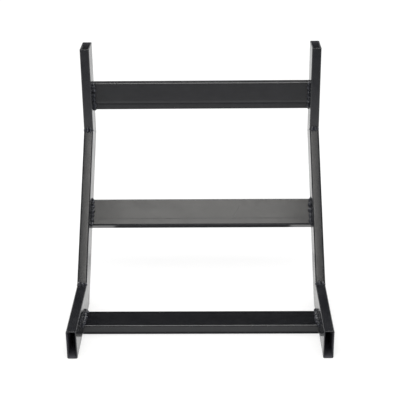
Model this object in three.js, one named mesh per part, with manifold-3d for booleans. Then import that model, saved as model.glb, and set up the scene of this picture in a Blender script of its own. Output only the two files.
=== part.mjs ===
// Dumbbell rack: a frame welded from one flat rectangular steel tube. Its feet lie on the floor and
// its posts stand upright, against a wall.
//
// Two side frames, each a foot, a sloping tube and a post joined by 45 degree mitred bends,
// are tied together by three cross rails. The rails are flush with the outer (floor and wall)
// side of the side frames, so the side frames stand proud of them on the inner side.
//
// Units are millimetres, with +X to the right, +Y to the back and +Z up. The origin is on the
// floor, at the middle of the frame's outline.

import * as THREE from 'three';
import * as BufferGeometryUtils from 'three/addons/utils/BufferGeometryUtils.js';
import Module from 'manifold-3d';

const wasm = await Module();
wasm.setup();

// Tube section, the same for every tube
const TUBE_DEPTH = 60;
const TUBE_THICKNESS = 20;
const WALL = 2;
const CORNER_RADIUS = 3;
const CORNER_STEPS = 5;

// Side frames: each length is measured on the tube's outer, longer side
const OVERALL_WIDTH = 510;
const FOOT_LENGTH = 212;
const SLOPE_LENGTH = 400;
const POST_LENGTH = 205;
const BEND_ANGLE = Math.PI / 4;

// Where the rails sit: from the foot's open end, halfway up the slope, from the post's open top
const LOWER_RAIL_FROM_END = 90;
const UPPER_RAIL_FROM_TOP = 87;

// Fits
const GAP = 0.3;      // clearance between pieces that touch
const RECESS = 0.2;   // how far a weld that is ground flush lies below the outer faces

// Fillet weld along a rail's wide inner face, wrapping a little way onto its narrow faces
const RAIL_WELD_LEG = 7;
const RAIL_WELD_STEPS = 2;
const RAIL_WELD_WRAP = 8;

// Weld, ground flush, in the groove between a rail's end and the side tube's rounded corner
const SEAM_WELD_LENGTH = TUBE_DEPTH - 2 * CORNER_RADIUS;

// Weld bead in the inner corner of a bend
const INNER_WELD_LEG = 5;
const INNER_WELD_CROWN = 1.5;
const INNER_WELD_STEPS = 6;
const INNER_WELD_LENGTH = TUBE_THICKNESS - CORNER_RADIUS / 2;

// Weld that restores the ground-off outer corner of a bend
const OUTER_WELD_LEG = 3;
const OUTER_WELD_LENGTH = TUBE_THICKNESS - 2 * CORNER_RADIUS;

// Worked out from the above
const HALF_BEND = BEND_ANGLE / 2;
const MITRE_SET_BACK = TUBE_DEPTH * Math.tan(HALF_BEND);
const RAIL_SPAN = OVERALL_WIDTH - 2 * TUBE_THICKNESS;
const SIDE_OFFSET = (OVERALL_WIDTH - TUBE_THICKNESS) / 2;
const SLOPE_RUN = (SLOPE_LENGTH - 2 * MITRE_SET_BACK) * Math.cos(BEND_ANGLE);
const OVERALL_DEPTH = FOOT_LENGTH - MITRE_SET_BACK + SLOPE_RUN + TUBE_DEPTH;
const SIDES = { left: -1, right: 1 };

// Corners of a geometry that are closer together than this are one corner
const MERGE_TOLERANCE = 1e-5;

// ---------------------------------------------------------------------------------------------
// Finish

function blackPaint() {
  return new THREE.MeshStandardMaterial({ color: 0x2b2c2e, roughness: 0.38, metalness: 0.1 });
}

function namedMesh(name, geometry) {
  const mesh = new THREE.Mesh(geometry, blackPaint());
  mesh.name = name;
  return mesh;
}

// ---------------------------------------------------------------------------------------------
// Cutting: closed geometries become solids, and what is left becomes a geometry again

function toSolid(geometry) {
  const bare = geometry.clone();
  bare.deleteAttribute('normal');
  bare.deleteAttribute('uv');
  const merged = BufferGeometryUtils.mergeVertices(bare, MERGE_TOLERANCE);
  const mesh = new wasm.Mesh({
    numProp: 3,
    vertProperties: new Float32Array(merged.attributes.position.array),
    triVerts: new Uint32Array(merged.index.array),
  });
  return new wasm.Manifold(mesh);
}

function toGeometry(solid) {
  const mesh = solid.getMesh();
  const geometry = new THREE.BufferGeometry();
  geometry.setAttribute('position', new THREE.BufferAttribute(mesh.vertProperties, 3));
  geometry.setIndex(new THREE.BufferAttribute(mesh.triVerts, 1));
  geometry.computeVertexNormals();
  return geometry;
}

function cut(geometry, cutters) {
  let solid = toSolid(geometry);
  for (const cutter of cutters) {
    solid = solid.subtract(toSolid(cutter));
  }
  return toGeometry(solid);
}

// ---------------------------------------------------------------------------------------------
// Sections

// A rectangle centred on the origin, with rounded corners
function roundedRectangle(path, width, height, radius) {
  const x = width / 2 - radius;
  const y = height / 2 - radius;
  const quarter = Math.PI / 2;
  path.absarc(x, y, radius, 0, quarter);
  path.absarc(-x, y, radius, quarter, 2 * quarter);
  path.absarc(-x, -y, radius, 2 * quarter, 3 * quarter);
  path.absarc(x, -y, radius, 3 * quarter, 4 * quarter);
  path.closePath();
  return path;
}

function extrude(shape, depth, curveSegments) {
  return new THREE.ExtrudeGeometry(shape, { depth, curveSegments, bevelEnabled: false });
}

// A solid bar with the tube's outline grown by the gap, from z = 0 to its length
function clearanceBar(width, height, length) {
  const outline = roundedRectangle(
    new THREE.Shape(), width + 2 * GAP, height + 2 * GAP, CORNER_RADIUS + GAP);
  return extrude(outline, length, CORNER_STEPS);
}

// ---------------------------------------------------------------------------------------------
// Tubes

// An open-ended tube from z = 0 to its length, with its section centred on the origin
function tubeGeometry(width, height, length) {
  const section = roundedRectangle(new THREE.Shape(), width, height, CORNER_RADIUS);
  section.holes.push(roundedRectangle(
    new THREE.Path(), width - 2 * WALL, height - 2 * WALL, CORNER_RADIUS - WALL));
  return extrude(section, length, CORNER_STEPS);
}

// Cuts an end to the mitre, which sets it back in proportion to the distance from the outer face
function mitreEnd(geometry, endZ, inward) {
  const halfGap = GAP / 2 / Math.cos(HALF_BEND);
  const position = geometry.attributes.position;
  for (let i = 0; i < position.count; i += 1) {
    if (Math.abs(position.getZ(i) - endZ) < halfGap) {
      const setBack = halfGap - position.getY(i) * Math.tan(HALF_BEND);
      position.setZ(i, endZ + inward * setBack);
    }
  }
}

// What is ground off the outer corner of a bend that has its corner at the origin
function outerCornerCutter() {
  const depth = OUTER_WELD_LEG * Math.sin(HALF_BEND) + RECESS + GAP;
  const reach = 4 * OUTER_WELD_LEG;
  return new THREE.BoxGeometry(OUTER_WELD_LENGTH + 2 * GAP, 2 * depth, reach);
}

// A side tube with its outer face on y = 0, from z = 0 to its length
function sideTubeGeometry({ length, mitredStart, mitredEnd }) {
  const geometry = tubeGeometry(TUBE_THICKNESS, TUBE_DEPTH, length);
  geometry.translate(0, -TUBE_DEPTH / 2, 0);
  const cutters = [];
  if (mitredStart) {
    mitreEnd(geometry, 0, 1);
    cutters.push(outerCornerCutter().rotateX(-HALF_BEND));
  }
  if (mitredEnd) {
    mitreEnd(geometry, length, -1);
    cutters.push(outerCornerCutter().rotateX(HALF_BEND).translate(0, 0, length));
  }
  return cut(geometry, cutters);
}

// A rail along x, centred on x = 0, with its wide outer face on y = 0 and its middle on z = 0
function railGeometry() {
  const length = RAIL_SPAN - 2 * GAP;
  const geometry = tubeGeometry(TUBE_DEPTH, TUBE_THICKNESS, length);
  geometry.translate(0, -TUBE_THICKNESS / 2, -length / 2);
  geometry.rotateY(Math.PI / 2);
  return geometry;
}

// ---------------------------------------------------------------------------------------------
// Welds

// The rail welds are drawn with the rail coming from -z and its outer face on y = 0, and with the
// side tube's wall on z = 0.

function sideTubeClearance() {
  const length = 2 * TUBE_DEPTH;
  const bar = clearanceBar(TUBE_THICKNESS, TUBE_DEPTH, length);
  bar.translate(0, -TUBE_DEPTH / 2, -length / 2);
  bar.rotateY(Math.PI / 2);
  bar.translate(0, 0, TUBE_THICKNESS / 2);
  return bar;
}

function innerRailWeldGeometry() {
  const outline = roundedRectangle(
    new THREE.Shape(), TUBE_DEPTH, TUBE_THICKNESS, CORNER_RADIUS);
  const blank = new THREE.ExtrudeGeometry(outline, {
    depth: GAP,
    curveSegments: CORNER_STEPS,
    bevelThickness: RAIL_WELD_LEG,
    bevelSize: RAIL_WELD_LEG,
    bevelSegments: RAIL_WELD_STEPS,
  });
  blank.translate(0, -TUBE_THICKNESS / 2, 0);

  const reach = 2 * RAIL_WELD_LEG;
  const rail = clearanceBar(TUBE_DEPTH, TUBE_THICKNESS, 2 * reach);
  rail.translate(0, -TUBE_THICKNESS / 2, -reach);

  const outerPart = new THREE.BoxGeometry(2 * TUBE_DEPTH, 2 * TUBE_THICKNESS, 2 * reach);
  outerPart.translate(0, RAIL_WELD_WRAP, 0);

  return cut(blank, [rail, sideTubeClearance(), outerPart]);
}

function seamWeldGeometry() {
  const bar = new THREE.BoxGeometry(SEAM_WELD_LENGTH, CORNER_RADIUS, CORNER_RADIUS);
  bar.translate(0, -RECESS - CORNER_RADIUS / 2, CORNER_RADIUS / 2);
  return cut(bar, [sideTubeClearance()]);
}

// A bar along x, centred on x = 0, from an outline drawn with z to the right and y up
function barAcross(outline, length, curveSegments) {
  const bar = extrude(outline, length, curveSegments);
  bar.translate(0, 0, -length / 2);
  bar.rotateY(-Math.PI / 2);
  return bar;
}

// The bend welds are drawn with the bend's mitre on z = 0, its outer corner at the origin and
// its two tubes slanting away towards -y.

function innerWeldGeometry() {
  const across = INNER_WELD_LEG * Math.cos(HALF_BEND);
  const drop = INNER_WELD_LEG * Math.sin(HALF_BEND);
  const root = -(TUBE_DEPTH + GAP) / Math.cos(HALF_BEND);
  const outline = new THREE.Shape();
  outline.moveTo(0, root);
  outline.lineTo(-across, root - drop);
  outline.quadraticCurveTo(0, root - drop - 2 * INNER_WELD_CROWN, across, root - drop);
  outline.closePath();
  return barAcross(outline, INNER_WELD_LENGTH, INNER_WELD_STEPS);
}

function outerWeldGeometry() {
  const across = OUTER_WELD_LEG * Math.cos(HALF_BEND);
  const drop = OUTER_WELD_LEG * Math.sin(HALF_BEND);
  const outline = new THREE.Shape();
  outline.moveTo(0, -RECESS);
  outline.lineTo(-across, -RECESS - drop);
  outline.lineTo(across, -RECESS - drop);
  outline.closePath();
  return barAcross(outline, OUTER_WELD_LENGTH, 1);
}

// ---------------------------------------------------------------------------------------------
// Assembly. Each stretch of the side frames has a frame of its own, nested in the one before it:
// its outer face is on y = 0, its inner side is towards -y, and z runs along it.

function stretch(previous, startZ, bend) {
  const group = new THREE.Group();
  group.position.z = startZ;
  group.rotation.x = bend;
  previous.add(group);
  return group;
}

function addSideTubes(group, pieceName, options) {
  for (const [side, sign] of Object.entries(SIDES)) {
    const tube = namedMesh(`${side}_${pieceName}`, sideTubeGeometry(options));
    tube.position.x = sign * SIDE_OFFSET;
    group.add(tube);
  }
}

function addRail(group, level, centreZ) {
  const rail = namedMesh(`${level}_rail`, railGeometry());
  rail.position.z = centreZ;
  group.add(rail);
  for (const [side, sign] of Object.entries(SIDES)) {
    const inner = namedMesh(`${level}_rail_${side}_inner_weld`, innerRailWeldGeometry());
    const seam = namedMesh(`${level}_rail_${side}_seam_weld`, seamWeldGeometry());
    for (const weld of [inner, seam]) {
      weld.position.set(sign * RAIL_SPAN / 2, 0, centreZ);
      weld.rotation.y = sign * Math.PI / 2;
      group.add(weld);
    }
  }
}

function addBendWelds(group, level) {
  for (const [side, sign] of Object.entries(SIDES)) {
    const inner = namedMesh(`${side}_${level}_bend_inner_weld`, innerWeldGeometry());
    const outer = namedMesh(`${side}_${level}_bend_outer_weld`, outerWeldGeometry());
    for (const weld of [inner, outer]) {
      weld.position.x = sign * SIDE_OFFSET;
      weld.rotation.x = -HALF_BEND;
      group.add(weld);
    }
  }
}

const rack = new THREE.Group();
const floorStretch = new THREE.Group();
floorStretch.position.y = -OVERALL_DEPTH / 2;
floorStretch.rotation.x = -Math.PI / 2;
rack.add(floorStretch);
const slopeStretch = stretch(floorStretch, FOOT_LENGTH, BEND_ANGLE);
const postStretch = stretch(slopeStretch, SLOPE_LENGTH, BEND_ANGLE);

addSideTubes(floorStretch, 'foot_tube', { length: FOOT_LENGTH, mitredEnd: true });
addSideTubes(slopeStretch, 'slope_tube', { length: SLOPE_LENGTH, mitredStart: true, mitredEnd: true });
addSideTubes(postStretch, 'post_tube', { length: POST_LENGTH, mitredStart: true });

addRail(floorStretch, 'lower', LOWER_RAIL_FROM_END + TUBE_DEPTH / 2);
addRail(slopeStretch, 'middle', SLOPE_LENGTH / 2);
addRail(postStretch, 'upper', POST_LENGTH - UPPER_RAIL_FROM_TOP - TUBE_DEPTH / 2);

addBendWelds(slopeStretch, 'lower');
addBendWelds(postStretch, 'upper');

export default rack;
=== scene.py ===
# Looks for the dumbbell rack: black painted tubes and the welds that join them, in a small studio.
#
# Units are metres, in the frame's own axes: +X to the right, +Y to the back and +Z up.

import math
import random

import bmesh
import bpy
import numpy as np
from mathutils import Matrix, Vector, noise


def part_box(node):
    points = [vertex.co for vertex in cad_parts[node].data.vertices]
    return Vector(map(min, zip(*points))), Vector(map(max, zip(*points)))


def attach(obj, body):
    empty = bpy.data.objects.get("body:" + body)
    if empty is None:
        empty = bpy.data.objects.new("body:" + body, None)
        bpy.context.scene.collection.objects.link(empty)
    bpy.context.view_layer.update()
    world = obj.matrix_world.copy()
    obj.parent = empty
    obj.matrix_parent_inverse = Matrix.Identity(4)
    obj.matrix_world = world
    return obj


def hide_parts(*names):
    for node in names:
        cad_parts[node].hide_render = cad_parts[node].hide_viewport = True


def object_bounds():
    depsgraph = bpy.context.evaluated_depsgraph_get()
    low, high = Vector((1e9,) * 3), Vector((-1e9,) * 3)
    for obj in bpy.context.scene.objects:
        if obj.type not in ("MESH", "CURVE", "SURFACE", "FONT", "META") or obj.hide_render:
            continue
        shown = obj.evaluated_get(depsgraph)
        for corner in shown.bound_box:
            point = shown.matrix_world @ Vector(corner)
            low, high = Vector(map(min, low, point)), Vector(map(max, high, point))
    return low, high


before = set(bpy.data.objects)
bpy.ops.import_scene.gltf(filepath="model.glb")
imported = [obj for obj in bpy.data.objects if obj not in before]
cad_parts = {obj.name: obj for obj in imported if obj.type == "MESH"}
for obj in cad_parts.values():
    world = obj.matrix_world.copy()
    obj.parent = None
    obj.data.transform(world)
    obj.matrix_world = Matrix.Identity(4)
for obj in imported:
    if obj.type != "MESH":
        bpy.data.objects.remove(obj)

CAD_BOX = [np.array(corner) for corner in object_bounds()]
LOW, HIGH = CAD_BOX
MM = 0.001

# ---------------------------------------------------------------------------------------------
# Sizes of the tube stock and of the side frames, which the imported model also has

DEPTH = 60 * MM
THICKNESS = 20 * MM
WALL = 2 * MM
CORNER = 3 * MM
FOOT_LENGTH = 212 * MM
SLOPE_LENGTH = 400 * MM
POST_LENGTH = 205 * MM
BEND = math.radians(45)
HALF_GAP = 0.15 * MM

MITRE = math.tan(BEND / 2)
WIDE_FLAT = DEPTH - 2 * CORNER
RAIL_SEAM = DEPTH / 4 - CORNER            # the seam's place across a rail's wide inner face
SIDES = {"left": -1, "right": 1}
SIDE_CENTRE = HIGH[0] - THICKNESS / 2
RAIL_WALL = HIGH[0] - THICKNESS          # where a rail's end meets the side tube

# How finely the tubes are divided
CORNER_STEPS = 7
FLAT_STEP = 5 * MM
STATION_STEP = 7 * MM
NEAR_CORNER = (0, 0.4, 1.2, 2.5)                            # in mm from a flat's end
NEAR_SEAM = (-1.6, -0.9, -0.4, 0.0, 0.4, 0.9, 1.6)          # in seam widths

# How the tubes differ from perfect flats and edges
DISH = 0.13 * MM          # the middle of a wide face lies this far below its edges
CROWN = 0.08 * MM         # and the edges of a narrow face this far below its middle
WAVER = 0.05 * MM         # how far a wide face's middle wanders along the tube
WAVE_LENGTHS = (31 * MM, 13 * MM)
SEAM_DEPTH = 0.115 * MM   # the scarfed line where the strip's edges were welded into a tube
SEAM_WIDTH = 0.55 * MM
RIM_BEVEL = 0.7 * MM
GROUND_OFF = 0.5 * MM     # what the grinder took from the outer corner of a bend
GROUND_REACH = 3 * MM
EDGE_WEAR = 0.55          # wear where a flat meets its corner, which has 1 at its middle
EDGE_FADE = 0.9 * MM

# Welds
INSIDE_BOX = 0.02 * MM    # how far inside the frame's box every weld stays
SUNK = 0.5 * MM           # how far a weld's root and toes lie below the steel
BEAD_ROUGHNESS = 0.14 * MM
GROUND_ROUGHNESS = 0.05 * MM
ROUGH_SCALES = (230, 600) # of the noise that roughens a weld, per metre
PIT_REACH = 1.1 * MM
FILLET_TURNS = np.radians(np.linspace(0, 90, 13))
FILLET_CENTRE = 0.36      # of its leg: how far a bead's round section is centred from both faces

# Of each kind of weld: its pitch from lump to lump, its step from ring to ring, the length of its
# tips, and its wrap, which is how far it turns on to the faces beside its own
RAIL_WELD_PITCH = 10 * MM
WALL_TOE_PITCH = 11 * MM
RAIL_WELD_STEP = 0.6 * MM
RAIL_WELD_TIP = 10 * MM
RAIL_WELD_WRAP = 9 * MM

SEAM_WELD_PITCH = 9 * MM
SEAM_WELD_RINGS = 60
SEAM_WELD_TIP = 4 * MM
SEAM_WELD_ON_RAIL = 1.6 * MM
SEAM_WELD_ON_SIDE = 3.3 * MM
SEAM_ROOT_DEPTH = 2.6 * MM
SEAM_ROOT_HALF_WIDTH = 0.6 * MM

BEND_WELD_PITCH = 6.5 * MM
INNER_BEND_STEP = 0.5 * MM
INNER_BEND_TIP = 5 * MM
INNER_BEND_WRAP = 6.5 * MM
OUTER_BEND_LEG = 1.6 * MM
OUTER_BEND_STEP = 0.9 * MM
OUTER_BEND_TIP = 3 * MM
OUTER_BEND_FADE = 13 * MM # the pitch at which a ground weld's line comes and goes


# ---------------------------------------------------------------------------------------------
# Placing

class Stretch:
    """One straight length of the side frames, with its outer face through its origin."""

    def __init__(self, y, z, angle):
        self.origin = np.array([0.0, y, z])
        self.along = np.array([0.0, math.cos(angle), math.sin(angle)])
        self.inward = np.array([0.0, -math.sin(angle), math.cos(angle)])

    def world(self, x, depth, distance):
        """Points at x, so deep below the outer face and so far along."""
        x, depth, distance = np.broadcast_arrays(x, depth, distance)
        points = self.origin + depth[..., None] * self.inward + distance[..., None] * self.along
        points[..., 0] += x
        return points

    def after(self, length, bend):
        """The stretch that starts at this one's end."""
        end = self.origin + length * self.along
        angle = math.atan2(self.along[2], self.along[1])
        return Stretch(end[1], end[2], angle + bend)

    def distance_to(self, node):
        low, high = (np.array(corner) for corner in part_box(node))
        return float(((low + high) / 2 - self.origin) @ self.along)


FOOT = Stretch(LOW[1], LOW[2], 0.0)
SLOPE = FOOT.after(FOOT_LENGTH, BEND)
POST = SLOPE.after(SLOPE_LENGTH, BEND)


# ---------------------------------------------------------------------------------------------
# Meshes

def add_piece(name, verts, faces, masks, material, nodes):
    """A mesh piece that rides on the rack, with its masks as attributes for the material."""
    mesh = bpy.data.meshes.new(name)
    mesh.from_pydata([tuple(v) for v in verts], [], faces)
    for mask, values in masks.items():
        mesh.attributes.new(mask, "FLOAT", "POINT").data.foreach_set("value", values)
    shape = bmesh.new()
    shape.from_mesh(mesh)
    bmesh.ops.recalc_face_normals(shape, faces=shape.faces)
    if shape.calc_volume(signed=True) < 0:         # a thin weld can come out inside out
        bmesh.ops.reverse_faces(shape, faces=shape.faces)
    shape.to_mesh(mesh)
    shape.free()
    mesh.shade_smooth()
    mesh.set_sharp_from_angle(angle=math.radians(50))
    mesh.materials.append(material)
    piece = bpy.data.objects.new(name, mesh)
    bpy.context.scene.collection.objects.link(piece)
    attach(piece, "root")
    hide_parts(*nodes)
    return piece


def ring_faces(rings, points, closed):
    """Quads between rings of points. A closed run joins its last ring to its first."""
    faces = []
    for i in range(rings if closed else rings - 1):
        here, there = i * points, (i + 1) % rings * points
        for j in range(points):
            k = (j + 1) % points
            faces.append((here + j, here + k, there + k, there + j))
    return faces


# ---------------------------------------------------------------------------------------------
# Tubes

def flat_stops(length, seam):
    """Places across a flat face, close together by its corners and at its seam."""
    near = np.array(NEAR_CORNER) * MM
    count = max(2, round((length - 2 * near[-1]) / FLAT_STEP))
    stops = [*near, *np.linspace(near[-1], length - near[-1], count + 1), *(length - near)]
    if seam is not None:
        stops += [seam + step * SEAM_WIDTH for step in NEAR_SEAM]
    return np.unique(np.round(stops, 6))


class Outline:
    """A tube's outline, centred across and from 0 to its depth. Each point has an outward normal
    and how far it is pressed in, how much it may waver and how worn its paint may be. Faces 0 to 3
    start at the outer one and go round by +X."""

    def __init__(self, width, depth, seam_face=None, seam_at=0.0):
        half = width / 2 - CORNER
        faces = [
            ((-half, 0.0), 2 * half),
            ((width / 2, CORNER), depth - 2 * CORNER),
            ((half, depth), 2 * half),
            ((-width / 2, depth - CORNER), depth - 2 * CORNER),
        ]
        longest = max(length for _, length in faces)
        rows = []
        for number, (start, length) in enumerate(faces):
            heading = math.radians(90 * number)
            way = np.array([math.cos(heading), math.sin(heading)])
            normal = np.array([way[1], -way[0]])
            seam = seam_at if number == seam_face else None
            narrow = length < longest
            for stop in flat_stops(length, seam):
                bow = 4 * stop * (length - stop) / length**2
                press = CROWN * (1 - bow) if narrow else DISH * bow
                if seam is not None:
                    press += SEAM_DEPTH * math.exp(-((stop - seam) / SEAM_WIDTH) ** 2)
                edge = EDGE_WEAR * math.exp(-min(stop, length - stop) / EDGE_FADE)
                rows.append((*(start + stop * way), *normal, press, bow, edge))
            centre = start + length * way - CORNER * normal
            for step in range(1, CORNER_STEPS):
                turn = step / CORNER_STEPS
                angle = heading + math.radians(90) * (turn - 1)
                normal = np.array([math.cos(angle), math.sin(angle)])
                press = CROWN * (1 - turn if narrow else turn)
                edge = 1 - (1 - EDGE_WEAR) * abs(2 * turn - 1)
                rows.append((*(centre + CORNER * normal), *normal, press, 0.0, edge))
        rows = np.array(rows)
        self.points, self.normals = rows[:, 0:2], rows[:, 2:4]
        self.press, self.bow, self.edge = rows[:, 4], rows[:, 5], rows[:, 6]


# A tube's ends, from inside the bore to its outside: how far each ring lies below the outside,
# how far it lies from the end, and how worn it is
OPEN_END = [
    (WALL, 9 * MM, 0.0), (WALL, 0.5 * RIM_BEVEL, 0.4), (WALL - 0.4 * RIM_BEVEL, 0.0, 0.8),
    (RIM_BEVEL, 0.0, 0.9), (0.62 * RIM_BEVEL, 0.12 * RIM_BEVEL, 1.0),
    (0.12 * RIM_BEVEL, 0.62 * RIM_BEVEL, 1.0), (0.0, RIM_BEVEL, 0.9),
    (0.0, 1.6 * MM, 0.35), (0.0, 3.2 * MM, 0.0),
]
MITRED_END = [
    (WALL, 9 * MM, 0.0), (WALL, 0.0, 0.0), (0.0, 0.0, 0.0), (0.0, 0.7 * MM, 0.0),
    (0.0, 1.4 * MM, 0.0), (0.0, 2.1 * MM, 0.0), (0.0, 3 * MM, 0.0), (0.0, 5 * MM, 0.0),
]
BUTTED_END = [(WALL, 9 * MM, 0.0), (WALL, 0.0, 0.0), (0.0, 0.0, 0.0), (0.0, 3 * MM, 0.0)]


def tube_rings(length, start, end):
    """Rings from the bore at a tube's start along its outside to the bore at its end. Each is how
    far it lies below the outside, its share of the way, its distance from there, and its wear."""
    rings = [(below, 0.0, inset, worn) for below, inset, worn in start]
    count = round(length / STATION_STEP)
    rings += [(0.0, i / count, 0.0, 0.0) for i in range(2, count - 1)]
    rings += [(below, 1.0, -inset, worn) for below, inset, worn in reversed(end)]
    return rings


def add_tube(name, place, outline, length, start, end, seed, material):
    """A hollow tube of this outline and length. place(across, depth, along) gives its points."""
    phases = np.random.default_rng(seed).uniform(0, 2 * math.pi, len(WAVE_LENGTHS))
    slants = [MITRE if cut is MITRED_END else 0.0 for cut in (start, end)]
    out_facing = np.clip(-outline.normals[:, 1], 0, 1)
    verts, edges, bores = [], [], []
    rings = tube_rings(length, start, end)
    for below, share, inset, worn in rings:
        far = share * length
        swings = (math.sin(far / wave + phase) for wave, phase in zip(WAVE_LENGTHS, phases))
        sunk = below + outline.press + WAVER * (sum(swings) / 4 + 0.5) * outline.bow
        mitred = slants[0] if share == 0 else slants[1] if share == 1 else 0
        if mitred and below == 0:
            near = max(0.0, 1 - abs(inset) / GROUND_REACH)
            sunk = sunk + GROUND_OFF * near**2 * out_facing
        across, depth = (outline.points - sunk[:, None] * outline.normals).T
        first = slants[0] * depth + HALF_GAP
        last = length - slants[1] * depth - HALF_GAP
        verts.append(place(across, depth, (1 - share) * first + share * last + inset))
        edges.append(np.maximum(outline.edge * (below == 0), worn))
        bores.append(np.full(len(depth), float(below == WALL)))
    faces = ring_faces(len(rings), len(outline.points), closed=True)
    masks = {"edge": np.concatenate(edges), "bore": np.concatenate(bores)}
    return add_piece(name + "_painted", np.concatenate(verts), faces, masks, material,
                     [name])


# ---------------------------------------------------------------------------------------------
# Welds

noise.seed_set(1)    # without it, Blender shifts noise_vector by a clock-seeded amount on each run


class Lumps:
    """The uneven run of a weld laid by hand: lumps of different sizes, with pits between them."""

    def __init__(self, seed, length, pitch, spread=0.2):
        draw = random.Random(seed)
        self.centres = [-pitch * draw.uniform(0.1, 0.9)]
        while self.centres[-1] < length:
            self.centres.append(self.centres[-1] + pitch * draw.uniform(0.7, 1.35))
        self.sizes = [draw.uniform(1 - spread, 1 + spread) for _ in self.centres]
        self.pits_and_shade = [draw.uniform(0.2, 1.0) for _ in self.centres]

    def at(self, run):
        """The weld's relative size and how much of a pit there is, this far along it."""
        k = max(i for i, centre in enumerate(self.centres[:-1]) if centre <= run or i == 0)
        gap = self.centres[k + 1] - self.centres[k]
        t = (run - self.centres[k]) / gap
        ease = t * t * (3 - 2 * t)
        size = self.sizes[k] + (self.sizes[k + 1] - self.sizes[k]) * ease
        # The pit amount shapes the hollow and also sets the painted shade in the weld's colour
        pit_and_shade = self.pits_and_shade[k] * math.exp(-((t - 0.5) * gap / PIT_REACH) ** 2)
        between = math.sin(math.pi * t) ** 2
        dip = 0.16 * between + 0.26 * between**3   # a broad one, sharper in its middle
        return size * (1 - dip), pit_and_shade


def u_path(half_width, face, reach, step):
    """Steps along a U round the face at this depth, reaching so far down the faces beside it:
    place across, depth, the outward normal's two parts, and the distance run."""
    into = math.copysign(1.0, reach)
    side = abs(reach) - CORNER
    flat = 2 * (half_width - CORNER)
    quarter = CORNER * math.pi / 2
    total = 2 * (side + quarter) + flat
    rows = []
    for run in np.linspace(0, total, round(total / step) + 1):
        back = run > total / 2
        rest = min(run, total - run)
        sign = 1 if back else -1
        if rest < side:
            row = (sign * half_width, face + into * (abs(reach) - rest), sign, 0.0)
        elif rest < side + quarter:
            turn = (rest - side) / CORNER
            out, up = math.cos(turn), math.sin(turn)
            row = (sign * (half_width - CORNER + CORNER * out),
                   face + into * CORNER * (1 - up), sign * out, -into * up)
        else:
            row = (sign * (flat / 2 - (rest - side - quarter)), face, 0.0, -into)
        rows.append((*row, run))
    return rows, total


def taper(run, total, length):
    """Goes from nearly 0 at either end of a run to 1 away from them."""
    return min(1.0, max(0.06, min(run, total - run) / length))


def add_weld(name, rings, pits_and_shade, edges, material, roughness=BEAD_ROUGHNESS):
    """Lofts the rings, each end drawn to a point, roughens them and keeps them in the box."""
    count, points = len(rings), len(rings[0])
    verts = np.array([*np.concatenate(rings), np.mean(rings[0], 0), np.mean(rings[-1], 0)])
    pits_and_shade = [*np.concatenate(pits_and_shade), 0.5, 0.5]
    edges = [*np.concatenate(edges), 0.0, 0.0]
    for vert in verts:
        coarse, fine = (noise.noise_vector(Vector(vert) * scale) for scale in ROUGH_SCALES)
        vert += np.array(coarse + 0.2 * fine) * roughness
    verts = np.clip(verts, LOW + INSIDE_BOX, HIGH - INSIDE_BOX)
    faces = ring_faces(count, points, closed=False)
    for tip, ring in ((len(verts) - 2, 0), (len(verts) - 1, count - 1)):
        start = ring * points
        faces += [(tip, start + j, start + (j + 1) % points) for j in range(points)]
    # The pit mask is painted shade: it darkens the welds' pits and toes
    masks = {"edge": np.array(edges), "pit_and_shade": np.clip(pits_and_shade, 0, 1)}
    return add_piece(name + "_bead", verts, faces, masks, material, [name])


def add_rail_weld(name, stretch, centre, sign, leg, seed, material):
    """The fillet weld between a rail and the side tube's wall, which runs along the rail's wide
    inner face and turns a little way on to its narrow ones."""
    rows, total = u_path(DEPTH / 2, THICKNESS, -RAIL_WELD_WRAP, RAIL_WELD_STEP)
    lumps = Lumps(seed, total, RAIL_WELD_PITCH, spread=0.25)
    wall_lumps = Lumps(seed + 100, total, WALL_TOE_PITCH)
    cos, sin = np.cos(FILLET_TURNS), np.sin(FILLET_TURNS)
    radius = math.hypot(1 - FILLET_CENTRE, FILLET_CENTRE)
    middle = FILLET_CENTRE * (cos + sin)
    shape = middle + np.sqrt(middle**2 - 2 * FILLET_CENTRE**2 + radius**2)
    rings, pits_and_shade, edges = [], [], []
    for across, depth, out_a, out_d, run in rows:
        size, pit_and_shade = lumps.at(run)
        wall_size, _ = wall_lumps.at(run)
        end = taper(run, total, RAIL_WELD_TIP)
        # Fine ripples that bow along the weld, and a hollow at each pit, deepest at mid bead
        ripple = 1 + 0.015 * np.sin(run / (0.26 * MM) + 2.4 * np.sin(2 * FILLET_TURNS))
        hollow = 1 - 0.45 * pit_and_shade * np.exp(-((FILLET_TURNS - 0.75) / 0.6) ** 2)
        reach = shape * ripple * hollow
        on_top = abs(out_d)                        # 1 on the wide face and 0 on the narrow ones
        from_wall = leg * size * end * reach * cos * (0.4 + 0.6 * on_top)
        from_rail = leg * wall_size * end * reach * sin * (0.7 + 0.3 * on_top)
        from_wall = np.array([-SUNK, from_wall[0], *from_wall, -SUNK])
        from_rail = np.array([-SUNK, -SUNK, *from_rail, from_rail[-1]])
        rings.append(stretch.world(sign * (RAIL_WALL - from_wall), depth + from_rail * out_d,
                                   centre + across + from_rail * out_a))
        # Painted shade: darker at the bead's toes, where it meets the steel, and in its pits; hidden
        # rings are dark
        toe = np.abs(np.sin(FILLET_TURNS * 2))
        pits_and_shade.append([1, 1, *np.clip(pit_and_shade + 0.5 * (1 - toe) ** 2, 0, 1), 1])
        edges.append([0, 0, *(toe * (1 - pit_and_shade)), 0])
    return add_weld(name, rings, pits_and_shade, edges, material)


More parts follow.
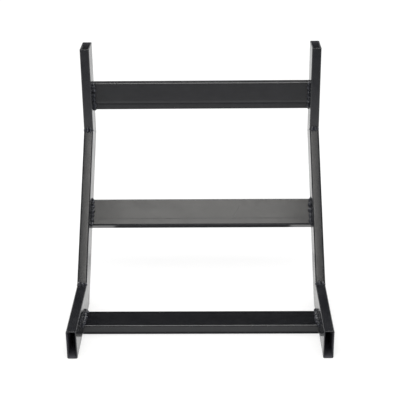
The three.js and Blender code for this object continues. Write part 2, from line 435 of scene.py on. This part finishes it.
def add_seam_weld(name, stretch, centre, sign, seed, material):
    """The ground strip that fills the groove between a rail's end and the side tube's corner."""
    lumps = Lumps(seed, WIDE_FLAT, SEAM_WELD_PITCH)
    spread = np.linspace(-1, 1, 9)
    past_wall = np.linspace(-SEAM_WELD_ON_RAIL, SEAM_WELD_ON_SIDE, len(spread))
    past_wall = np.array([*past_wall, past_wall[-1], SEAM_ROOT_HALF_WIDTH, -SEAM_ROOT_HALF_WIDTH])
    rings, pits_and_shade, edges = [], [], []
    for run in np.linspace(0, WIDE_FLAT, SEAM_WELD_RINGS):
        size, pit_and_shade = lumps.at(run)
        end = taper(run, WIDE_FLAT, SEAM_WELD_TIP)
        level = 0.16 * MM * (2.1 - size) + 0.9 * MM * (1 - end) + 0.2 * MM * pit_and_shade
        below = level + 0.35 * MM * np.abs(spread) ** 4
        below = np.array([*below, below[-1] + 0.4 * MM, SEAM_ROOT_DEPTH, SEAM_ROOT_DEPTH])
        rings.append(stretch.world(sign * (RAIL_WALL + past_wall), below,
                                   centre + run - WIDE_FLAT / 2))
        # Painted shade: the whole strip in the groove is darker, and more so in its pits
        pits_and_shade.append([*np.full(len(spread), 0.3 + pit_and_shade / 2), 1, 1, 1])
        edges.append([*np.full(len(spread), 0.3), 0, 0, 0])
    return add_weld(name, rings, pits_and_shade, edges, material, roughness=GROUND_ROUGHNESS)


def add_bend_weld(name, before, after, x, rows, total, bead, seed, material):
    """A bead across a bend's mitre, along the rows of a u_path. bead(across, out_d, run) gives its
    leg on each tube, the height of its crown, and how far it lies below the steel."""
    middle = before.inward + after.inward
    middle = middle / np.linalg.norm(middle)
    spread = np.linspace(-1, 1, 15)
    rings, pits_and_shade, edges = [], [], []
    lumps = Lumps(seed, total, BEND_WELD_PITCH, spread=0.34)
    for across, depth, out_a, out_d, run in rows:
        size, pit_and_shade = lumps.at(run)
        leg_before, leg_after, crown, sunk = bead(across, out_d, run)
        root = after.world(x + across, depth, depth * MITRE)
        out = np.array([out_a, 0.0, 0.0]) + out_d * middle
        legs = np.where(spread < 0, leg_before, leg_after) * size
        way = np.where(spread[:, None] < 0, -before.along, after.along)
        fold = (1 - np.abs(spread)) * legs * math.sin(BEND / 2) * out_d
        ripple = 1 + 0.12 * np.sin(run / (0.3 * MM) + 2.2 * spread)
        swell = crown * size * (1 - spread**2) * ripple * (1 - 0.9 * pit_and_shade * (1 - spread**2))
        height = fold + swell - sunk
        top = root + (np.abs(spread) * legs)[:, None] * way + height[:, None] * out
        under = [top[-1] - SUNK * out, root - (SUNK + sunk) * out, top[0] - SUNK * out]
        rings.append(np.array([*top, *under]))
        # Painted shade: darker towards the bead's toes and in its pits; hidden rings are dark
        toe = np.abs(spread) ** 3
        pits_and_shade.append([*np.clip(pit_and_shade + 0.6 * toe, 0, 1), 1, 1, 1])
        edges.append([*((1 - toe) * (1 - pit_and_shade)), 0, 0, 0])
    return add_weld(name, rings, pits_and_shade, edges, material)


def add_inner_bend_weld(name, before, after, x, arch, seed, material):
    """The bead in the inner corner of a bend, which turns a little way down the wide faces. It
    reaches further up the tube after the bend, by the arch, at its middle."""
    rows, total = u_path(THICKNESS / 2, DEPTH, -INNER_BEND_WRAP, INNER_BEND_STEP)

    def bead(across, out_d, run):
        end = taper(run, total, INNER_BEND_TIP)
        middle = max(0.0, 1 - (across / (THICKNESS / 2)) ** 2)
        on_face = max(0.0, out_d)
        leg = (2.2 + 2.8 * on_face) * MM * end
        crown = (0.35 + 2.5 * on_face) * MM * end
        return leg, leg + arch * middle * on_face, crown, 0.15 * MM * (1 - end)

    return add_bend_weld(name, before, after, x, rows, total, bead, seed, material)


def add_outer_bend_weld(name, before, after, x, seed, material):
    """The weld round the rest of a bend's mitre, ground down until it all but disappears."""
    rows, total = u_path(THICKNESS / 2, 0.0, DEPTH - CORNER, OUTER_BEND_STEP)
    fade = Lumps(seed + 50, total, OUTER_BEND_FADE, spread=0.9)

    def bead(across, out_d, run):
        on_face = max(0.0, -out_d)
        size, _ = fade.at(run)
        crown = (0.11 * size + 0.42 * on_face) * MM
        end = taper(run, total, OUTER_BEND_TIP)
        sunk = 0.09 * MM * (1 - on_face) + 0.5 * MM * (1 - end)
        return OUTER_BEND_LEG, OUTER_BEND_LEG, crown, sunk

    return add_bend_weld(name, before, after, x, rows, total, bead, seed, material)


# ---------------------------------------------------------------------------------------------
# Materials

def add_node(tree, kind, settings=None, inputs=None):
    """A node with its settings, and each input either linked or set."""
    made = tree.nodes.new(kind)
    for name, value in (settings or {}).items():
        setattr(made, name, value)
    for name, value in (inputs or {}).items():
        socket = made.inputs[name]
        if isinstance(value, bpy.types.NodeSocket):
            tree.links.new(value, socket)
        else:
            socket.default_value = value
    return made


def maths(tree, operation, a, b, clamp=False):
    settings = {"operation": operation, "use_clamp": clamp}
    return add_node(tree, "ShaderNodeMath", settings, {0: a, 1: b}).outputs[0]


def mapped(tree, value, low, high, to_low, to_high):
    inputs = {"Value": value, "From Min": low, "From Max": high, "To Min": to_low, "To Max": to_high}
    return add_node(tree, "ShaderNodeMapRange", None, inputs).outputs[0]


def mixed(tree, factor, a, b):
    made = add_node(tree, "ShaderNodeMix", {"data_type": "RGBA"}, {0: factor, 6: a, 7: b})
    return made.outputs[2]


def noise_at(tree, place, scale, detail=3.0, distortion=0.0):
    inputs = {"Vector": place, "Scale": scale, "Detail": detail, "Distortion": distortion}
    return add_node(tree, "ShaderNodeTexNoise", None, inputs).outputs["Fac"]


def grey(level, blue=1.0):
    return (level, level, level * blue, 1.0)


DARK_CLOUD = (0.72, 0.78, 1.10)            # of the paint's shade, in red, green and blue
LIGHT_CLOUD = (1.18, 1.24, 1.60)
WORN_COLOUR = (0.085, 0.086, 0.09, 1.0)
DUST_COLOUR = grey(0.10)


def paint(name, gloss, shade, peel, wear, smudges, inside=0.045, scratch=None):
    """Black satin paint. Gloss is its mean roughness, shade how light its black is, peel the depth
    of its orange peel, wear how much shows at the edges, smudges how strong the handling marks are
    and inside how light a bore is. A scratch is a point on it, its direction and its length."""
    material = bpy.data.materials.new(name)
    material.use_nodes = True
    tree = material.node_tree
    shader = tree.nodes["Principled BSDF"]
    place = add_node(tree, "ShaderNodeTexCoord").outputs["Object"]
    edge, pit_and_shade, bore = (
        add_node(tree, "ShaderNodeAttribute", {"attribute_name": mask}).outputs["Fac"]
        for mask in ("edge", "pit_and_shade", "bore"))

    # Colour: two clouded near blacks, grain, painted shade in weld pits and toes, worn edges, bores,
    # dust specks
    clouds = mapped(tree, noise_at(tree, place, 38, 5, 0.6), 0.35, 0.65, 0, 1)
    dark, light = ((*(shade * part for part in tint), 1.0) for tint in (DARK_CLOUD, LIGHT_CLOUD))
    colour = mixed(tree, clouds, dark, light)
    grain = mapped(tree, noise_at(tree, place, 1500, 2), 0.3, 0.7, 0, 1)
    colour = mixed(tree, maths(tree, "MULTIPLY", grain, 0.35), colour, grey(0.016))
    # Painted shade: the pit mask darkens the welds' pits, their toes and the seam strips
    colour = mixed(tree, maths(tree, "MULTIPLY", pit_and_shade, 0.6), colour, grey(0.0035))
    chips = mapped(tree, noise_at(tree, place, 260, 6), 0.56, 0.68, 0, 1)
    rubbed = mapped(tree, noise_at(tree, place, 45, 3), 0.4, 0.7, 0.15, 1)
    worn = maths(tree, "MULTIPLY", maths(tree, "MULTIPLY", edge, chips), rubbed)
    colour = mixed(tree, maths(tree, "MULTIPLY", worn, wear), colour, WORN_COLOUR)
    colour = mixed(tree, bore, colour, grey(inside, 1.2))
    dust = mapped(tree, noise_at(tree, place, 900, 1), 0.74, 0.80, 0, 0.5)
    colour = mixed(tree, dust, colour, DUST_COLOUR)

    # Roughness: wiped bands and handling smudges, with duller edges, bores and pits
    wiped = mapped(tree, noise_at(tree, place, 16, 4, 1.5), 0.3, 0.7, -0.035, 0.045)
    smudge = mapped(tree, noise_at(tree, place, 55, 7, 2.0), 0.52, 0.70, 0, smudges)
    rough = maths(tree, "ADD", maths(tree, "ADD", wiped, gloss), smudge)
    rough = maths(tree, "ADD", rough, maths(tree, "MULTIPLY", worn, 0.25))
    rough = maths(tree, "ADD", rough, maths(tree, "MULTIPLY", bore, 0.6))
    rough = maths(tree, "ADD", rough, maths(tree, "MULTIPLY", pit_and_shade, 0.18), clamp=True)

    # Height: orange peel over a slower waviness, lower where it is worn
    fine = maths(tree, "MULTIPLY", noise_at(tree, place, 620, 2), peel)
    slow = maths(tree, "MULTIPLY", noise_at(tree, place, 70, 2), 4 * peel)
    height = maths(tree, "ADD", fine, slow)
    height = maths(tree, "SUBTRACT", height, maths(tree, "MULTIPLY", worn, 2 * peel))

    if scratch:
        mark = scratch_mask(tree, place, *scratch)
        colour = mixed(tree, maths(tree, "MULTIPLY", mark, 0.5), colour, grey(0.05))
        rough = maths(tree, "ADD", rough, maths(tree, "MULTIPLY", mark, 0.15))
        height = maths(tree, "SUBTRACT", height, maths(tree, "MULTIPLY", mark, 3 * peel))

    inputs = {"Height": height, "Strength": 1.0, "Distance": 1.0}
    bump = add_node(tree, "ShaderNodeBump", None, inputs).outputs["Normal"]
    tree.links.new(colour, shader.inputs["Base Color"])
    tree.links.new(rough, shader.inputs["Roughness"])
    tree.links.new(bump, shader.inputs["Normal"])
    shader.inputs["Specular IOR Level"].default_value = 0.5
    return material


def scratch_mask(tree, place, point, direction, length):
    """1 on a thin straight scratch through a point, and 0 elsewhere."""
    direction = Vector(direction).normalized()
    from_point = add_node(tree, "ShaderNodeVectorMath", {"operation": "SUBTRACT"},
                          {0: place, 1: point}).outputs[0]
    along = add_node(tree, "ShaderNodeVectorMath", {"operation": "DOT_PRODUCT"},
                     {0: from_point, 1: direction}).outputs["Value"]
    size = add_node(tree, "ShaderNodeVectorMath", {"operation": "LENGTH"},
                    {0: from_point}).outputs["Value"]
    square = maths(tree, "SUBTRACT", maths(tree, "MULTIPLY", size, size),
                   maths(tree, "MULTIPLY", along, along))
    away = maths(tree, "SQRT", maths(tree, "MAXIMUM", square, 0.0), 0.0)
    thin = mapped(tree, away, 0.15 * MM, 0.5 * MM, 1, 0)
    within = mapped(tree, maths(tree, "ABSOLUTE", along, 0.0), 0.4 * length, 0.5 * length, 1, 0)
    return maths(tree, "MULTIPLY", thin, within)


# ---------------------------------------------------------------------------------------------
# The rack

SIDE_OUTLINES = {                                  # with their seams on the rack's outer sides
    "left": Outline(THICKNESS, DEPTH, seam_face=3, seam_at=0.75 * WIDE_FLAT),
    "right": Outline(THICKNESS, DEPTH, seam_face=1, seam_at=0.25 * WIDE_FLAT),
}

MIDDLE_CENTRE = SLOPE.distance_to("middle_rail")
SCRATCH_AT = SLOPE.world(0.075, THICKNESS, MIDDLE_CENTRE)
SCRATCH_WAY = tuple(0.8 * SLOPE.along + np.array([0.45, 0.0, 0.0]))
SCRATCH_LENGTH = 30 * MM

PEEL = 0.008 * MM

tube_paint = paint("tube_paint", gloss=0.20, shade=0.0105, peel=PEEL, wear=0.2, smudges=0.03)
# The feet's bores are lighter inside than the posts': painted light, for the light that falls into
# their open front ends
foot_paint_lit_bore = paint("foot_paint_lit_bore", gloss=0.20, shade=0.0105, peel=PEEL, wear=0.2, smudges=0.03,
                   inside=0.08)
# The upper and lower rails' black is darker than the side tubes': painted shade
shaded_rail_paint = paint("shaded_rail_paint", gloss=0.19, shade=0.0075, peel=PEEL, wear=0.4, smudges=0.03)
middle_paint = paint("middle_rail_paint", gloss=0.20, shade=0.0095, peel=PEEL, wear=0.4,
                     smudges=0.035, scratch=(tuple(SCRATCH_AT), SCRATCH_WAY, SCRATCH_LENGTH))
# The welds' black is lighter than the tubes': a painted sheen, for the light their lumpy beads catch
weld_sheen_paint = paint("weld_sheen_paint", gloss=0.2, shade=0.034, peel=1.5 * PEEL, wear=0.3, smudges=0.1)

SIDE_TUBES = {
    "foot_tube": (FOOT, FOOT_LENGTH, OPEN_END, MITRED_END),
    "slope_tube": (SLOPE, SLOPE_LENGTH, MITRED_END, MITRED_END),
    "post_tube": (POST, POST_LENGTH, MITRED_END, OPEN_END),
}
# Each rail's stretch and the leg of its bead, and each bend's stretches and the arch of its bead
RAILS = {"lower": (FOOT, 6.2 * MM), "middle": (SLOPE, 5.4 * MM), "upper": (POST, 4.8 * MM)}
BENDS = {"lower": (FOOT, SLOPE, 4.5 * MM), "upper": (SLOPE, POST, 1.2 * MM)}

for number, (side, sign) in enumerate(SIDES.items()):
    x = sign * SIDE_CENTRE
    for part, (stretch, length, start, end) in SIDE_TUBES.items():
        add_tube(f"{side}_{part}",
                 lambda across, depth, along, s=stretch, x=x: s.world(x + across, depth, along),
                 SIDE_OUTLINES[side], length, start, end, len(part) + 10 * number,
                 foot_paint_lit_bore if part == "foot_tube" else tube_paint)
    for step, (level, (before, after, arch)) in enumerate(BENDS.items()):
        seed = 20 + 10 * step + number
        add_inner_bend_weld(f"{side}_{level}_bend_inner_weld", before, after, x, arch, seed,
                            weld_sheen_paint)
        add_outer_bend_weld(f"{side}_{level}_bend_outer_weld", before, after, x, seed + 5,
                            weld_sheen_paint)

for step, (level, (stretch, leg)) in enumerate(RAILS.items()):
    centre = stretch.distance_to(f"{level}_rail")
    seam = RAIL_SEAM if level == "lower" else WIDE_FLAT - RAIL_SEAM
    outline = Outline(DEPTH, THICKNESS, seam_face=2, seam_at=seam)
    add_tube(f"{level}_rail",
             lambda across, depth, along, s=stretch, c=centre: s.world(
                 along - RAIL_WALL, depth, c + across),
             outline, 2 * RAIL_WALL, BUTTED_END, BUTTED_END, 40 + step,
             middle_paint if level == "middle" else shaded_rail_paint)
    for number, (side, sign) in enumerate(SIDES.items()):
        seed = 60 + 10 * step + number
        add_rail_weld(f"{level}_rail_{side}_inner_weld", stretch, centre, sign, leg, seed,
                      weld_sheen_paint)
        add_seam_weld(f"{level}_rail_{side}_seam_weld", stretch, centre, sign, seed + 5,
                      weld_sheen_paint)


# ---------------------------------------------------------------------------------------------
# The studio

def plain_material(name, colour, glow=0.0):
    material = bpy.data.materials.new(name)
    material.use_nodes = True
    shader = material.node_tree.nodes["Principled BSDF"]
    shader.inputs["Base Color"].default_value = colour
    shader.inputs["Roughness"].default_value = 1.0
    shader.inputs["Specular IOR Level"].default_value = 0.0
    shader.inputs["Emission Color"].default_value = (1, 1, 1, 1)
    shader.inputs["Emission Strength"].default_value = glow
    return material


def add_stage_quad(name, corners, material):
    """A four-cornered piece of the studio, which isn't part of the rack."""
    mesh = bpy.data.meshes.new(name)
    mesh.from_pydata(corners, [], [(0, 1, 2, 3)])
    mesh.materials.append(material)
    quad = bpy.data.objects.new(name, mesh)
    bpy.context.scene.collection.objects.link(quad)
    return quad


def add_card(name, corners, glow):
    """A card that only shows in the gloss of the paint."""
    card = add_stage_quad(name, corners, plain_material(name, grey(0.0), glow))
    card.visible_camera = False
    card.visible_diffuse = False
    card.visible_transmission = False
    card.visible_shadow = False


def level_corners(x0, x1, y0, y1, z):
    return [(x0, y0, z), (x1, y0, z), (x1, y1, z), (x0, y1, z)]


def upright_corners(x0, x1, y, z0, z1):
    return [(x0, y, z0), (x1, y, z0), (x1, y, z1), (x0, y, z1)]


def side_corners(x, y0, y1, z0, z1):
    return [(x, y0, z0), (x, y1, z0), (x, y1, z1), (x, y0, z1)]


def add_softbox(name, centre, aim, width, height, power, colour):
    light = bpy.data.lights.new(name, "AREA")
    light.shape = "RECTANGLE"
    light.size = width
    light.size_y = height
    light.energy = power
    light.color = colour
    lamp = bpy.data.objects.new(name, light)
    bpy.context.scene.collection.objects.link(lamp)
    lamp.location = centre
    lamp.rotation_euler = (Vector(aim) - Vector(centre)).to_track_quat("-Z", "Y").to_euler()
    lamp.visible_camera = False


FLOOR_HALF = 9.0
FLAG_Z = 0.5 * MM

add_stage_quad("studio_floor", level_corners(-FLOOR_HALF, FLOOR_HALF, -FLOOR_HALF, FLOOR_HALF, 0.0),
               plain_material("floor_paper", grey(0.45), glow=0.62))

# Flags that the gloss sees darker than the floor: one in front of the rack, and painted shadows
# under its slopes and under its lower rail, where the rack shades the floor
add_card("front_flag", level_corners(-4.0, 4.0, -5.0, -0.90, FLAG_Z), glow=0.3)
add_card("under_rack_shadow_flag", level_corners(-0.2, 0.2, 0.03, 0.20, FLAG_Z), glow=0.1)
add_card("low_rail_shadow_flag", level_corners(-0.233, 0.233, -0.166, -0.10, FLAG_Z), glow=0.12)

# Lighter panels behind the rack, high above it, and high at each side behind it
add_card("back_panel", upright_corners(-0.6, 0.6, 0.35, 0.455, 0.56), glow=0.8)
add_card("top_panel", level_corners(-0.7, 0.7, -0.2, 0.8, 2.5), glow=8.0)
for side, sign in SIDES.items():
    add_card(f"{side}_panel", side_corners(sign * 1.6, 0.8, 2.4, 1.0, 2.4), glow=6.0)

add_softbox("overhead_softbox", centre=(-0.04, -0.9, 2.1), aim=(-0.04, 0.0, 0.1), width=0.95,
            height=1.0, power=12.5, colour=(1.0, 0.985, 0.94))

# The camera and the diffuse light see an even white world. Gloss sees one that goes from light at
# the horizon to dark above it.
world = bpy.data.worlds.new("studio")
bpy.context.scene.world = world
world.use_nodes = True
world.cycles.sampling_method = "NONE"
tree = world.node_tree
rays = add_node(tree, "ShaderNodeLightPath")
lit = maths(tree, "MAXIMUM", rays.outputs["Is Camera Ray"], rays.outputs["Is Diffuse Ray"])
skyward = add_node(tree, "ShaderNodeSeparateXYZ", None,
                   {0: add_node(tree, "ShaderNodeTexCoord").outputs["Generated"]}).outputs["Z"]
horizon = mixed(tree, mapped(tree, skyward, 0.14, 0.30, 1, 0), grey(0.04), grey(0.9))
sky = mixed(tree, lit, horizon, grey(0.98))
tree.links.new(sky, tree.nodes["Background"].inputs["Color"])

# ---------------------------------------------------------------------------------------------
# The camera

CAMERA_AT = Vector((0.0346, -2.0164, 1.1078))
CAMERA_LENS = 97.05       # in mm, as the sensor's width is
SENSOR_WIDTH = 36.0
PITCH, YAW, ROLL = (math.radians(angle) for angle in (-23.6835, -1.0139, -0.6647))

look = Vector((math.sin(YAW) * math.cos(PITCH), math.cos(YAW) * math.cos(PITCH), math.sin(PITCH)))
sideways = Vector((math.cos(YAW), -math.sin(YAW), 0.0))
above = sideways.cross(look)
right = math.cos(ROLL) * sideways + math.sin(ROLL) * above
up = math.cos(ROLL) * above - math.sin(ROLL) * sideways

camera_data = bpy.data.cameras.new("camera")
camera_data.lens = CAMERA_LENS
camera_data.sensor_width = SENSOR_WIDTH
camera = bpy.data.objects.new("camera", camera_data)
bpy.context.scene.collection.objects.link(camera)
camera.matrix_world = Matrix.Translation(CAMERA_AT) @ Matrix(
    (right, up, -look)).transposed().to_4x4()
bpy.context.scene.camera = camera
bpy.context.scene.view_settings.view_transform = "Standard"
